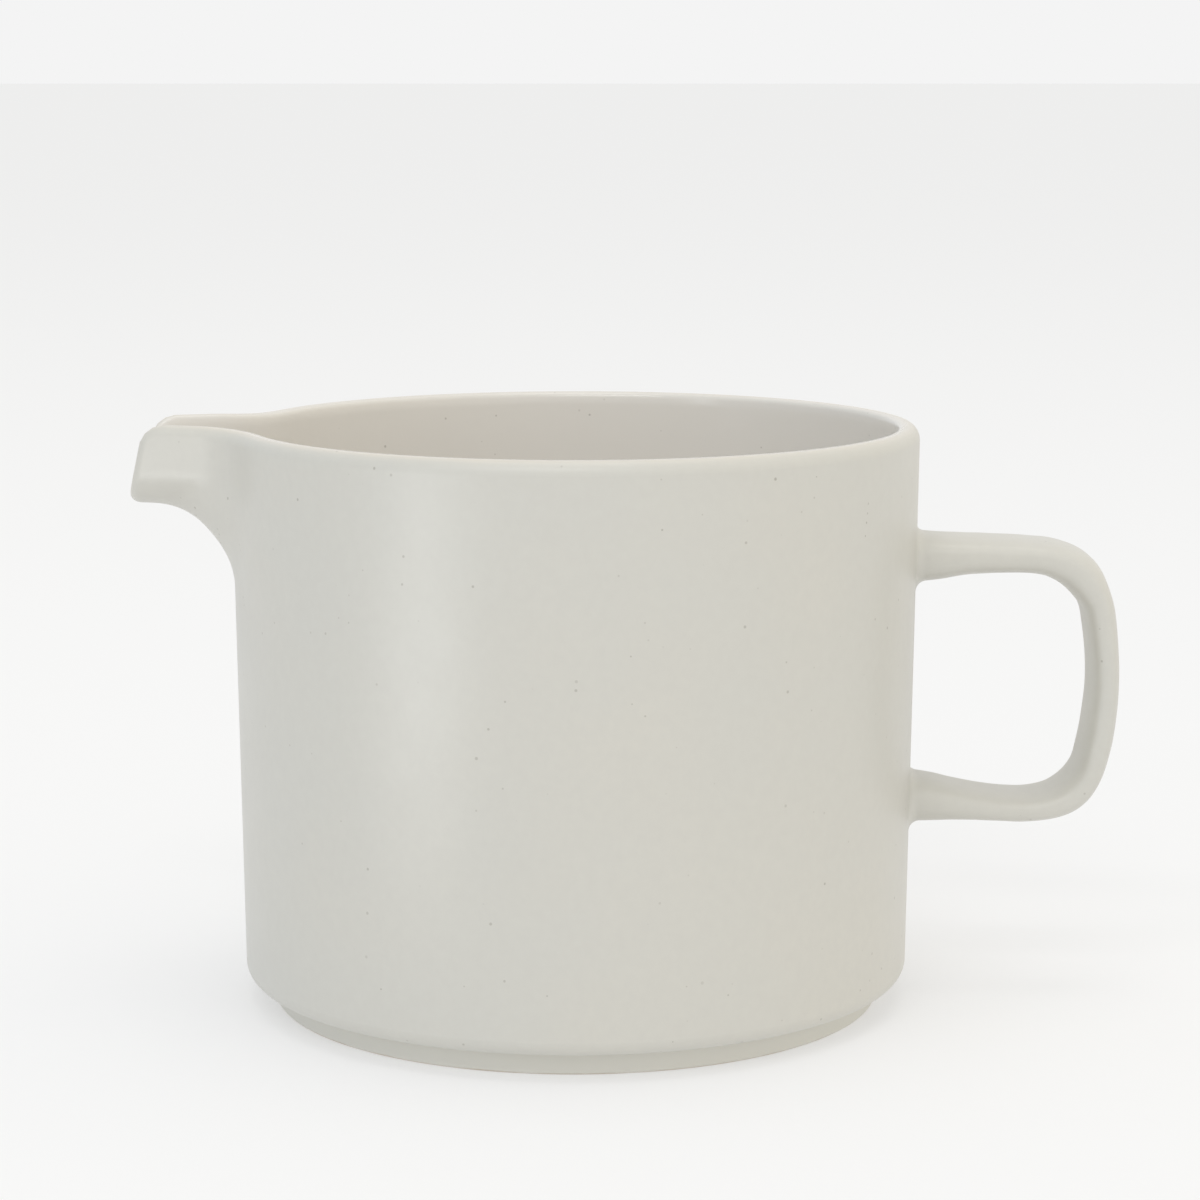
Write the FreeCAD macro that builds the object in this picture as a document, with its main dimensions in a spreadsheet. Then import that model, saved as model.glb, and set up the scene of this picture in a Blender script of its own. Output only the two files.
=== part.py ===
import math
import os

import FreeCAD, Part, Sketcher
from FreeCAD import Placement, Rotation, Vector

# A one-litre stoneware pitcher in millimetres.
# Frame: +Z up, origin on the vessel's axis in the plane that the foot ring
# stands on, +X towards the handle, -X towards the pouring spout.

doc = FreeCAD.newDocument("Pitcher")
sheet = doc.addObject("Spreadsheet::Sheet", "Dimensions")

DIMENSIONS = [
    # vessel
    ("RimRadius", 62.65),         # outer radius just under the rim
    ("RimHeight", 106.23),        # top of the rim
    ("WallTaper", 0.0143),        # radius lost per mm of height below the rim
    ("WallThickness", 4.0),
    ("BaseHeight", 4.35),         # underside of the vessel's floor
    ("FloorTop", 9.0),            # inside floor
    ("BaseCorner", 3.0),          # rounding between wall and underside
    ("InnerCorner", 8.0),         # rounding between floor and inside wall
    # foot ring
    ("FootRadius", 55.8),
    ("FootWidth", 5.2),
    ("FootEdge", 0.7),
    ("SlipThickness", 0.3),
    # notch in the wall that takes the spout
    ("NotchHalfAngle", 28.0),     # degrees each side of -X
    ("NotchFloor", 70.0),
    ("NotchTop", 120.0),
    ("NotchReach", 100.0),
    ("SeamAngle", 0.37),          # degrees of slip between notch and spout
    ("SeamWidth", 0.4),           # slip under the spout's patch
    # spout
    ("SpoutThickness", 3.0),
    ("SpoutBottom", 93.42),       # middle of the sheet, under the channel
    ("SpoutHalfWidth", 10.53),    # middle of the sheet, at SpoutStation
    ("SpoutStation", 70.0),
    ("SpoutFlare", 0.287),         # half-width gained per mm towards the vessel
    ("SpoutCorner", 5.3),
    ("SpoutLipLow", 79.51),       # lip line at the height of the channel floor
    ("SpoutLipLean", 0.214),
    ("SpoutLipBow", 0.0059),      # how much the lip draws back at its sides
    ("SpoutLipCorner", 2.1),
    ("SpoutTopRise", 0.47),        # the spout stands this much above the rim
    ("SpoutFilletSide", 8.05),     # reach of the blend, then its depth as a share
    ("SpoutDepthSide", 0.238),
    ("SpoutFilletUnder", 16.5),
    ("SpoutDepthUnder", 0.302),
    # handle
    ("HandleWidth", 16.8),
    ("HandleThickness", 5.6),
    ("HandleGap", 0.4),           # slip between a handle end and the wall
]
for row, (name, value) in enumerate(DIMENSIONS, start=1):
    sheet.set("A%d" % row, name)
    sheet.set("B%d" % row, repr(value))
    sheet.setAlias("B%d" % row, name)
doc.recompute()
D = {name: float(sheet.get(name)) for name, _ in DIMENSIONS}


def cell(expression):
    """An expression over the sheet's cells, with $Name for a cell."""
    return expression.replace("$", "Dimensions.")


def origin_plane(body, role):
    for feature in body.Origin.OriginFeatures:
        if feature.Role == role:
            return feature
    raise ValueError(role)


def sketch_on(body, role, name):
    sketch = body.newObject("Sketcher::SketchObject", name)
    sketch.AttachmentSupport = [(origin_plane(body, role), "")]
    sketch.MapMode = "FlatFace"
    return sketch


# ---------------------------------------------------------------- the sheet
# The spout is one bent sheet of clay. Its middle surface blends a tapering
# round wall into a U-shaped trough that narrows towards its lip. Coordinates
# here are p = -X (out along the spout), q = Y and z.

def wall_radius(z):
    return D["RimRadius"] - D["WallTaper"] * (D["RimHeight"] - z)


FLARE_COS = 1.0 / math.sqrt(1.0 + D["SpoutFlare"] ** 2)


def middle(p, q, z):
    wall = math.hypot(p, q) - wall_radius(z) + D["WallThickness"] / 2
    half = D["SpoutHalfWidth"] + D["SpoutFlare"] * (D["SpoutStation"] - p)
    rc = D["SpoutCorner"]
    a = (abs(q) - half) * FLARE_COS + rc
    b = D["SpoutBottom"] - z + rc
    u, v = max(a, 0.0), max(b, 0.0)
    length = math.hypot(u, v)
    trough = length + min(max(a, b), 0.0) - rc
    under = (v / length) ** 2 if length > 1e-9 else (1.0 if b > a else 0.0)
    k = D["SpoutFilletSide"] + (D["SpoutFilletUnder"] - D["SpoutFilletSide"]) * under
    c = D["SpoutDepthSide"] + (D["SpoutDepthUnder"] - D["SpoutDepthSide"]) * under
    h = max(k - abs(wall - trough), 0.0) / k
    return min(wall, trough) - k * h * h * (3 * c - 0.5 + (0.5 - 2 * c) * h)


def gradient(f, point):
    e = 1e-4
    p, q, z = point
    return ((f(p + e, q, z) - f(p - e, q, z)) / (2 * e),
            (f(p, q + e, z) - f(p, q - e, z)) / (2 * e),
            (f(p, q, z + e) - f(p, q, z - e)) / (2 * e))


def onto(f, point, rounds=6):
    for _ in range(rounds):
        g = gradient(f, point)
        n = g[0] ** 2 + g[1] ** 2 + g[2] ** 2
        s = f(*point) / n
        point = (point[0] - s * g[0], point[1] - s * g[1], point[2] - s * g[2])
    return point


def ease(x):
    x = min(max(x, 0.0), 1.0)
    return x * x * (3 - 2 * x)


def sheet_thickness(p, q):
    s = ease((math.hypot(p, q) - 60.8) / 8.0)
    return D["WallThickness"] + (D["SpoutThickness"] - D["WallThickness"]) * s


def lip_cut(p, q, z):
    """Below zero inside the trimmed sheet: under the rim's line and behind
    the spout's leaning front, the two joined by a small rounding."""
    rc = D["SpoutLipCorner"]
    high = D["RimHeight"] + D["SpoutTopRise"] * ease((p - 56.0) / 12.0)
    top = z - (high - sheet_thickness(p, q) / 2) + rc
    lean = math.sqrt(1.0 + D["SpoutLipLean"] ** 2)
    front = (p - D["SpoutLipLow"] + D["SpoutLipBow"] * q * q
             + D["SpoutLipLean"] * (z - D["SpoutBottom"])) / lean + rc
    u, v = max(top, 0.0), max(front, 0.0)
    return math.hypot(u, v) + min(max(top, front), 0.0) - rc


def onto_both(point):
    for _ in range(30):
        f, g = middle(*point), lip_cut(*point)
        a, b = gradient(middle, point), gradient(lip_cut, point)
        aa = sum(x * x for x in a)
        bb = sum(x * x for x in b)
        ab = sum(x * y for x, y in zip(a, b))
        det = aa * bb - ab * ab
        s = (f * bb - g * ab) / det
        t = (g * aa - f * ab) / det
        point = tuple(x - s * y - t * w for x, y, w in zip(point, a, b))
    return point


def resample(points, count):
    """count + 1 points at even steps of arc length along a polyline."""
    run = [0.0]
    for one, two in zip(points, points[1:]):
        run.append(run[-1] + math.dist(one, two))
    out, j = [], 0
    for i in range(count + 1):
        target = run[-1] * i / count
        while j < len(run) - 2 and run[j + 1] < target:
            j += 1
        span = run[j + 1] - run[j]
        t = 0.0 if span == 0 else (target - run[j]) / span
        out.append(tuple(x + (y - x) * t for x, y in zip(points[j], points[j + 1])))
    return out


def lip_line(count):
    """Points of the lip line from the channel's middle to the notch's side."""
    limit = math.radians(D["NotchHalfAngle"])
    point = onto_both((D["SpoutLipLow"], 0.0, D["SpoutBottom"]))
    line = [(point[0], 0.0, point[2])]
    heading = (0.0, 1.0, 0.0)
    step = 0.4
    for _ in range(400):
        a, b = gradient(middle, point), gradient(lip_cut, point)
        t = (a[1] * b[2] - a[2] * b[1], a[2] * b[0] - a[0] * b[2], a[0] * b[1] - a[1] * b[0])
        n = math.sqrt(sum(x * x for x in t))
        t = tuple(x / n for x in t)
        if sum(x * y for x, y in zip(t, heading)) < 0:
            t = tuple(-x for x in t)
        heading = t
        point = onto_both(tuple(x + step * y for x, y in zip(point, t)))
        if math.atan2(point[1], point[0]) >= limit:
            break
        line.append(point)
    z = D["RimHeight"] - D["WallThickness"] / 2
    r = wall_radius(z) - D["WallThickness"] / 2
    line.append((r * math.cos(limit), r * math.sin(limit), z))
    return [line[0]] + resample(line, count)[1:]


def sheet_net(columns, rows, rounds=400):
    """Middle-surface points net[i][j] of the half with q >= 0, column i from
    the spout's middle to the notch's side, row j from the notch's floor up."""
    limit = math.radians(D["NotchHalfAngle"])
    z0 = D["NotchFloor"]
    r0 = wall_radius(z0) - D["WallThickness"] / 2
    lip = lip_line(columns)
    net = []
    for i in range(columns + 1):
        angle = limit * i / columns
        foot = (r0 * math.cos(angle), r0 * math.sin(angle), z0)
        head = lip[i]
        net.append([foot])
        for j in range(1, rows):
            t = j / rows
            z = foot[2] + (head[2] - foot[2]) * (1 - (1 - t) ** 1.3)
            s = t ** 2.2
            net[i].append((foot[0] + (head[0] - foot[0]) * s,
                           foot[1] + (head[1] - foot[1]) * s, z))
        net[i].append(head)
    z1 = lip[columns][2]
    for j in range(rows + 1):
        z = z0 + (z1 - z0) * j / rows
        r = wall_radius(z) - D["WallThickness"] / 2
        net[columns][j] = (r * math.cos(limit), r * math.sin(limit), z)
    for _ in range(rounds):
        for i in range(columns):
            for j in range(1, rows):
                left = net[i - 1][j] if i else (net[1][j][0], -net[1][j][1], net[1][j][2])
                right, down, up = net[i + 1][j], net[i][j - 1], net[i][j + 1]
                moved = tuple((a + b + c + d) / 4 for a, b, c, d in zip(left, right, down, up))
                moved = onto(middle, moved, 2)
                if i == 0:
                    moved = (moved[0], 0.0, moved[2])
                net[i][j] = moved
    for i in range(columns):
        for j in range(1, rows):
            net[i][j] = onto(middle, net[i][j], 8)
    return net


def unit(v):
    n = math.sqrt(sum(x * x for x in v))
    return tuple(x / n for x in v)


def sheet_sections(columns, rows, around=6):
    """Closed profiles across the sheet, one per column: outer face upwards,
    rounded lip, inner face downwards."""
    net = sheet_net(columns, rows)
    profiles = []
    for i in range(columns + 1):
        outer, inner = [], []
        for j in range(rows + 1):
            point = net[i][j]
            n = unit(gradient(middle, point))
            half = sheet_thickness(point[0], point[1]) / 2
            outer.append(tuple(x + half * y for x, y in zip(point, n)))
            inner.append(tuple(x - half * y for x, y in zip(point, n)))
        head = net[i][rows]
        n = unit(gradient(middle, head))
        c = gradient(lip_cut, head)
        along = sum(x * y for x, y in zip(c, n))
        c = unit(tuple(x - along * y for x, y in zip(c, n)))
        half = sheet_thickness(head[0], head[1]) / 2
        lip = []
        for m in range(around + 1):
            angle = math.pi * m / around
            lip.append(tuple(x + half * math.cos(angle) * y + half * math.sin(angle) * w
                             for x, y, w in zip(head, n, c)))
        profiles.append((outer, lip, list(reversed(inner))))
    return profiles


def spline(points):
    """A B-spline edge through points, with the same knots on every section."""
    curve = Part.BSplineCurve()
    count = len(points)
    curve.interpolate(Points=[Vector(-p, q, z) for p, q, z in points],
                      Parameters=[k / (count - 1) for k in range(count)])
    return curve.toShape()


def spout_shape():
    half = sheet_sections(14, 12)
    sections = []
    for sign, chosen in ((-1, list(reversed(half))), (1, half[1:])):
        for outer, lip, inner in chosen:
            flip = [[(p, sign * q, z) for p, q, z in part] for part in (outer, lip, inner)]
            edges = [spline(part) for part in flip]
            a, b = flip[2][-1], flip[0][0]
            edges.append(Part.LineSegment(Vector(-a[0], a[1], a[2]),
                                          Vector(-b[0], b[1], b[2])).toShape())
            sections.append(Part.Wire(edges))
    return Part.makeLoft(sections, True, False)


# ------------------------------------------------------------- vessel body
def revolved(body, sketch, name):
    feature = body.newObject("PartDesign::Revolution", name)
    feature.Profile = sketch
    feature.ReferenceAxis = (sketch, ["V_Axis"])
    feature.Angle = 360.0
    sketch.Visibility = False
    return feature


def line(sketch, x0, y0, x1, y1):
    return sketch.addGeometry(Part.LineSegment(Vector(x0, y0, 0), Vector(x1, y1, 0)), False)


def arc(sketch, x, y, r, start, end):
    circle = Part.Circle(Vector(x, y, 0), Vector(0, 0, 1), r)
    return sketch.addGeometry(
        Part.ArcOfCircle(circle, math.radians(start), math.radians(end)), False)


def constrain(sketch, kind, *args, **named):
    index = sketch.addConstraint(Sketcher.Constraint(kind, *args))
    if named:
        label, expression = named["name"], named["value"]
        sketch.renameConstraint(index, label)
        sketch.setExpression("Constraints." + label, cell(expression))
    return index


def vessel_profile(body, name):
    """Half section of the pitcher's wall and floor: straight tapering wall,
    full-round rim, rounded base corner and a wide rounding inside."""
    sketch = sketch_on(body, "XZ_Plane", name)
    R, H, t = D["RimRadius"], D["RimHeight"], D["WallThickness"]
    zb, zf, rb, ri = D["BaseHeight"], D["FloorTop"], D["BaseCorner"], D["InnerCorner"]
    lean = math.degrees(math.atan(D["WallTaper"]))
    g0 = line(sketch, 0, zb, wall_radius(zb) - rb, zb)
    g1 = arc(sketch, wall_radius(zb) - rb, zb + rb, rb, 270, 360 - lean)
    g2 = line(sketch, wall_radius(zb + rb), zb + rb, wall_radius(H - t / 2), H - t / 2)
    g3 = arc(sketch, wall_radius(H - t / 2) - t / 2, H - t / 2, t / 2, -lean, 180 - lean)
    g4 = line(sketch, wall_radius(H - t / 2) - t, H - t / 2, wall_radius(zf + ri) - t, zf + ri)
    g5 = arc(sketch, wall_radius(zf + ri) - t - ri, zf + ri, ri, 270, 360 - lean)
    g6 = line(sketch, wall_radius(zf + ri) - t - ri, zf, 0, zf)
    g7 = line(sketch, 0, zf, 0, zb)
    # (geometry, point) pairs: 1 start, 2 end, 3 centre; -1 is the X axis, -2 the Z axis
    constrain(sketch, "Tangent", g0, 2, g1, 1)
    constrain(sketch, "Tangent", g1, 2, g2, 1)
    constrain(sketch, "Tangent", g2, 2, g3, 1)
    constrain(sketch, "Tangent", g3, 2, g4, 1)
    constrain(sketch, "Tangent", g4, 2, g5, 2)
    constrain(sketch, "Tangent", g5, 1, g6, 1)
    constrain(sketch, "Coincident", g6, 2, g7, 1)
    constrain(sketch, "Coincident", g7, 2, g0, 1)
    constrain(sketch, "Horizontal", g0)
    constrain(sketch, "Horizontal", g6)
    constrain(sketch, "PointOnObject", g7, 1, -2)
    constrain(sketch, "PointOnObject", g7, 2, -2)
    constrain(sketch, "DistanceY", -1, 1, g7, 2, zb, name="base", value="$BaseHeight")
    constrain(sketch, "DistanceY", -1, 1, g7, 1, zf, name="floor", value="$FloorTop")
    constrain(sketch, "Radius", g1, rb, name="basecorner", value="$BaseCorner")
    constrain(sketch, "Radius", g5, ri, name="innercorner", value="$InnerCorner")
    constrain(sketch, "Radius", g3, t / 2, name="rimround", value="$WallThickness / 2")
    constrain(sketch, "Distance", g2, 2, g4, t, name="wall", value="$WallThickness")
    constrain(sketch, "DistanceY", -1, 1, g3, 3, H - t / 2, name="rimline",
              value="$RimHeight - $WallThickness / 2")
    constrain(sketch, "DistanceX", -1, 1, g2, 2, wall_radius(H - t / 2), name="rimradius",
              value="$RimRadius - $WallTaper * $WallThickness / 2")
    constrain(sketch, "Angle", -1, 1, g2, 1, math.radians(90 - lean), name="taper",
              value="90 deg - atan($WallTaper)")
    return sketch


def notch_profile(body, name, half_angle, degrees, floor):
    """Plan of the notch's tool: a wedge about -X, drawn at the notch's floor."""
    sketch = sketch_on(body, "XY_Plane", name)
    sketch.setExpression("AttachmentOffset.Base.z", cell(floor))
    reach = D["NotchReach"]
    y = reach * math.tan(math.radians(degrees))
    g0 = line(sketch, 0, 0, -reach, y)
    g1 = line(sketch, -reach, y, -reach, -y)
    g2 = line(sketch, -reach, -y, 0, 0)
    constrain(sketch, "Coincident", g0, 2, g1, 1)
    constrain(sketch, "Coincident", g1, 2, g2, 1)
    constrain(sketch, "Coincident", g2, 2, g0, 1)
    constrain(sketch, "Coincident", g0, 1, -1, 1)
    constrain(sketch, "Symmetric", g0, 2, g1, 2, -1)
    constrain(sketch, "DistanceX", g0, 2, -1, 1, reach, name="reach", value="$NotchReach")
    constrain(sketch, "DistanceY", -1, 1, g0, 2, y, name="spread",
              value="$NotchReach * tan(%s)" % half_angle)
    return sketch


def cut_notch(body, sketch, name):
    feature = body.newObject("PartDesign::Pocket", name)
    feature.Profile = sketch
    feature.Type = 0
    feature.setExpression("Length", cell("$NotchTop - $NotchFloor"))
    feature.Reversed = True
    sketch.Visibility = False
    return feature


body = doc.addObject("PartDesign::Body", "vessel_body")
body.Label = "vessel_body"
wall = revolved(body, vessel_profile(body, "vessel_section"), "thrown_wall")
doc.recompute()
whole = wall.Shape.Volume
notch = cut_notch(body, notch_profile(body, "notch_plan", "($NotchHalfAngle + $SeamAngle) * 1 deg",
                                      D["NotchHalfAngle"] + D["SeamAngle"],
                                      "$NotchFloor - $SeamWidth"), "spout_notch")
body.Tip = notch
doc.recompute()
assert notch.Shape.Volume < whole - 1000, "the notch cuts nothing"


# ------------------------------------------------------- slip round the spout
def seam_profile(body, name):
    """Half section of the wall's upper part, on the spout's side."""
    sketch = sketch_on(body, "XZ_Plane", name)
    H, t = D["RimHeight"], D["WallThickness"]
    z1 = D["NotchFloor"] - D["SeamWidth"]
    lean = math.degrees(math.atan(D["WallTaper"]))
    top = wall_radius(H - t / 2)
    g0 = line(sketch, -wall_radius(z1), z1, -top, H - t / 2)
    g1 = arc(sketch, -top + t / 2, H - t / 2, t / 2, lean, 180 + lean)
    g2 = line(sketch, -top + t, H - t / 2, -wall_radius(z1) + t, z1)
    g3 = line(sketch, -wall_radius(z1) + t, z1, -wall_radius(z1), z1)
    constrain(sketch, "Tangent", g0, 2, g1, 2)
    constrain(sketch, "Tangent", g1, 1, g2, 1)
    constrain(sketch, "Coincident", g2, 2, g3, 1)
    constrain(sketch, "Coincident", g3, 2, g0, 1)
    constrain(sketch, "Horizontal", g3)
    constrain(sketch, "DistanceY", -1, 1, g0, 1, z1, name="lower", value="$NotchFloor - $SeamWidth")
    constrain(sketch, "DistanceY", -1, 1, g1, 3, H - t / 2, name="rimline",
              value="$RimHeight - $WallThickness / 2")
    constrain(sketch, "Radius", g1, t / 2, name="rimround", value="$WallThickness / 2")
    constrain(sketch, "DistanceX", g0, 2, -1, 1, top, name="rimradius",
              value="$RimRadius - $WallTaper * $WallThickness / 2")
    constrain(sketch, "Angle", -1, 1, g0, 1, math.radians(90 + lean), name="taper",
              value="90 deg + atan($WallTaper)")
    return sketch


seam = doc.addObject("PartDesign::Body", "spout_slip_seam")
seam.Label = "spout_slip_seam"
band = seam.newObject("PartDesign::Revolution", "slip_band")
band.Profile = seam_profile(seam, "slip_section")
band.ReferenceAxis = (band.Profile[0], ["V_Axis"])
band.Midplane = True
band.setExpression("Angle", cell("2 * ($NotchHalfAngle + $SeamAngle)"))
doc.recompute()
whole = band.Shape.Volume
opening = cut_notch(seam, notch_profile(seam, "patch_plan", "$NotchHalfAngle * 1 deg",
                                        D["NotchHalfAngle"], "$NotchFloor - 0.03"),
                    "patch_opening")
seam.Tip = opening
doc.recompute()
assert opening.Shape.Volume < 0.1 * whole, "the patch opening cuts nothing"

# ---------------------------------------------------------- pouring spout
spout = doc.addObject("Part::Feature", "pouring_spout")
spout.Label = "pouring_spout"
spout.Shape = spout_shape()
spout.Placement = Placement()

# --------------------------------------------------------------- foot ring
foot = doc.addObject("PartDesign::Body", "foot_ring")
foot.Label = "foot_ring"
sketch = sketch_on(foot, "XZ_Plane", "foot_section")
R, w, e = D["FootRadius"], D["FootWidth"], D["FootEdge"]
ht = D["BaseHeight"] - D["SlipThickness"]
g0 = line(sketch, R - w + e, 0, R - e, 0)
g1 = arc(sketch, R - e, e, e, 270, 360)
g2 = line(sketch, R, e, R, ht)
g3 = line(sketch, R, ht, R - w, ht)
g4 = line(sketch, R - w, ht, R - w, e)
g5 = arc(sketch, R - w + e, e, e, 180, 270)
constrain(sketch, "Tangent", g0, 2, g1, 1)
constrain(sketch, "Tangent", g1, 2, g2, 1)
constrain(sketch, "Coincident", g2, 2, g3, 1)
constrain(sketch, "Coincident", g3, 2, g4, 1)
constrain(sketch, "Tangent", g4, 2, g5, 1)
constrain(sketch, "Tangent", g5, 2, g0, 1)
constrain(sketch, "Horizontal", g3)
constrain(sketch, "Vertical", g2)
constrain(sketch, "Vertical", g4)
constrain(sketch, "PointOnObject", g0, 1, -1)
constrain(sketch, "Equal", g1, g5)
constrain(sketch, "Radius", g1, e, name="edge", value="$FootEdge")
constrain(sketch, "DistanceX", -1, 1, g2, 1, R, name="outer", value="$FootRadius")
constrain(sketch, "DistanceX", g4, 1, g2, 2, w, name="width", value="$FootWidth")
constrain(sketch, "DistanceY", -1, 1, g2, 2, ht, name="top", value="$BaseHeight - $SlipThickness")
revolved(foot, sketch, "turned_ring")

foot_slip = doc.addObject("PartDesign::Body", "foot_slip")
foot_slip.Label = "foot_slip"
sketch = sketch_on(foot_slip, "XY_Plane", "slip_plan")
sketch.setExpression("AttachmentOffset.Base.z", cell("$BaseHeight - $SlipThickness"))
for radius, label, value in ((R, "outer", "$FootRadius"), (R - w, "inner", "$FootRadius - $FootWidth")):
    g = sketch.addGeometry(Part.Circle(Vector(0, 0, 0), Vector(0, 0, 1), radius), False)
    constrain(sketch, "Coincident", g, 3, -1, 1)
    constrain(sketch, "Radius", g, radius, name=label, value=value)
pad = foot_slip.newObject("PartDesign::Pad", "slip_layer")
pad.Profile = sketch
pad.setExpression("Length", cell("$SlipThickness"))
sketch.Visibility = False

# ------------------------------------------------------------------ handle
# Stations along the strap's middle line from the upper root to the lower:
# x, z, heading in degrees, then thickness and width as shares of the
# handle's own. The strap swells and spreads where it meets the wall.
STATIONS = [
    (58.45, 81.44, 5.4, 2.184, 1.170),
    (61.74, 81.71, 3.5, 2.156, 1.170),
    (63.53, 81.79, 1.3, 1.838, 1.100),
    (64.53, 81.80, 0.9, 1.575, 1.045),
    (65.93, 81.84, 1.8, 1.456, 1.020),
    (67.93, 81.95, 4.7, 1.381, 1.008),
    (70.92, 82.14, 1.9, 1.267, 1.000),
    (74.27, 82.22, 0.4, 1.197, 1.000),
    (77.61, 82.20, -0.4, 1.147, 1.000),
    (80.96, 82.15, -2.0, 1.114, 1.000),
    (84.30, 81.92, -5.4, 1.107, 1.000),
    (87.58, 81.30, -18.1, 1.178, 1.000),
    (90.64, 79.94, -31.2, 1.269, 1.000),
    (93.12, 77.71, -52.3, 1.253, 1.000),
    (94.90, 74.88, -63.0, 1.099, 1.000),
    (95.96, 71.71, -78.5, 1.016, 1.000),
    (96.46, 68.41, -82.5, 0.994, 1.000),
    (96.84, 65.08, -84.8, 0.967, 1.000),
    (97.07, 61.74, -87.5, 0.953, 1.000),
    (97.13, 58.40, -90.6, 0.948, 1.000),
    (96.98, 55.06, -94.4, 0.956, 1.000),
    (96.64, 51.73, -96.8, 0.971, 1.000),
    (96.17, 48.42, -99.9, 0.972, 1.000),
    (95.48, 45.14, -103.1, 0.964, 1.000),
    (94.51, 41.95, -113.9, 0.954, 1.000),
    (92.74, 39.11, -130.3, 1.011, 1.000),
    (90.17, 36.98, -150.3, 1.009, 1.000),
    (87.05, 35.80, -167.3, 0.940, 1.000),
    (83.74, 35.33, -175.9, 0.904, 1.000),
    (80.39, 35.30, -182.4, 0.920, 1.000),
    (77.05, 35.52, -184.7, 0.947, 1.000),
    (73.72, 35.83, -185.8, 1.016, 1.000),
    (70.39, 36.18, -186.1, 1.142, 1.000),
    (67.41, 36.50, -186.1, 1.288, 1.008),
    (65.42, 36.69, -184.6, 1.378, 1.020),
    (64.02, 36.79, -184.2, 1.497, 1.045),
    (63.03, 36.87, -184.4, 1.753, 1.100),
    (61.23, 37.02, -185.5, 2.062, 1.170),
    (57.95, 37.37, -186.4, 2.093, 1.170),
]


def ellipse(index, station):
    x, z, heading, thick, wide = station
    turn = math.radians(heading)
    ring = doc.addObject("Part::Ellipse", "strap_%02d" % index)
    ring.setExpression("MajorRadius", cell("$HandleWidth / 2 * %.3f" % wide))
    ring.setExpression("MinorRadius", cell("$HandleThickness / 2 * %.3f" % thick))
    ring.Placement = Placement(Vector(x, 0, z), Rotation(
        Vector(0, 1, 0), Vector(-math.sin(turn), 0, math.cos(turn)),
        Vector(math.cos(turn), 0, math.sin(turn)), "XYZ"))
    ring.Visibility = False
    return ring


strap = doc.addObject("Part::Loft", "pulled_strap")
strap.Sections = [ellipse(i, station) for i, station in enumerate(STATIONS)]
strap.Solid = True
strap.Ruled = False

wall_cone = doc.addObject("Part::Cone", "wall_face")
wall_cone.setExpression("Radius1", cell("$RimRadius - $WallTaper * $RimHeight"))
wall_cone.setExpression("Radius2", cell("$RimRadius"))
wall_cone.setExpression("Height", cell("$RimHeight"))
gap_cone = doc.addObject("Part::Cone", "slip_face")
gap_cone.setExpression("Radius1", cell("$RimRadius - $WallTaper * $RimHeight + $HandleGap"))
gap_cone.setExpression("Radius2", cell("$RimRadius + $HandleGap"))
gap_cone.setExpression("Height", cell("$RimHeight"))

handle = doc.addObject("Part::Cut", "handle")
handle.Label = "handle"
handle.Base, handle.Tool = strap, gap_cone

skin = doc.addObject("Part::Cut", "slip_skin")
skin.Base, skin.Tool = gap_cone, wall_cone
pads = []
for name, low in (("handle_upper_slip", "$RimHeight / 2"), ("handle_lower_slip", "0")):
    block = doc.addObject("Part::Box", name + "_region")
    block.setExpression("Length", cell("$RimRadius * 2"))
    block.setExpression("Width", cell("$RimRadius"))
    block.setExpression("Height", cell("$RimHeight / 2"))
    block.setExpression("Placement.Base.y", cell("-$RimRadius / 2"))
    block.setExpression("Placement.Base.z", cell(low + " + 0"))
    part = doc.addObject("Part::Common", name + "_root")
    part.Base, part.Tool = strap, block
    layer = doc.addObject("Part::Common", name)
    layer.Label = name
    layer.Base, layer.Tool = part, skin
    pads.append(layer)

doc.recompute()

# ------------------------------------------------------------------- export
for item in doc.Objects:
    if "Invalid" in item.State or "Error" in item.State:
        raise RuntimeError("%s failed: %s" % (item.Name, item.State))

NODES = [body, spout, seam, handle, pads[0], pads[1], foot, foot_slip]
for node in NODES:
    shape = node.Shape
    if shape.isNull() or not shape.isValid():
        raise RuntimeError("%s has no valid shape" % node.Label)
    if len(shape.Solids) != 1:
        raise RuntimeError("%s has %d solids" % (node.Label, len(shape.Solids)))
    if shape.Volume <= 0:
        raise RuntimeError("%s is inside out" % node.Label)

os.makedirs("parts", exist_ok=True)
for node in NODES:
    node.Shape.Solids[0].exportStep(os.path.join("parts", node.Label + ".step"))
    box = node.Shape.BoundBox
    print("%-18s %9.1f mm3  x %.2f %.2f  y %.2f %.2f  z %.2f %.2f" % (
        node.Label, node.Shape.Volume, box.XMin, box.XMax, box.YMin, box.YMax,
        box.ZMin, box.ZMax))
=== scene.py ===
import math

import bmesh
import bpy
import numpy as np
from mathutils import Matrix, Vector


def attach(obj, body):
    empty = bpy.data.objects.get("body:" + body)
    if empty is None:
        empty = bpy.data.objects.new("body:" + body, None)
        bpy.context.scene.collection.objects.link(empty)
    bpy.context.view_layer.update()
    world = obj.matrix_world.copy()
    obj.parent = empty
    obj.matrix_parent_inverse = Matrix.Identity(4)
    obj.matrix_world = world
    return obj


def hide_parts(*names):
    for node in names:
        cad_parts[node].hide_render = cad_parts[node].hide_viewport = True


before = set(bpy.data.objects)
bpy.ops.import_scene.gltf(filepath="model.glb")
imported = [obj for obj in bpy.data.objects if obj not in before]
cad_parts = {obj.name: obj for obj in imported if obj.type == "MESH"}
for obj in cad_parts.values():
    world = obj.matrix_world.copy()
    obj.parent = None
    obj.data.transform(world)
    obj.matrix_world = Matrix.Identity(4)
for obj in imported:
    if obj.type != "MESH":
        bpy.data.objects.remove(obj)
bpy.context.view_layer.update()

# All shapes below are worked out in millimetres and written in metres.
MM = 0.001

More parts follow.
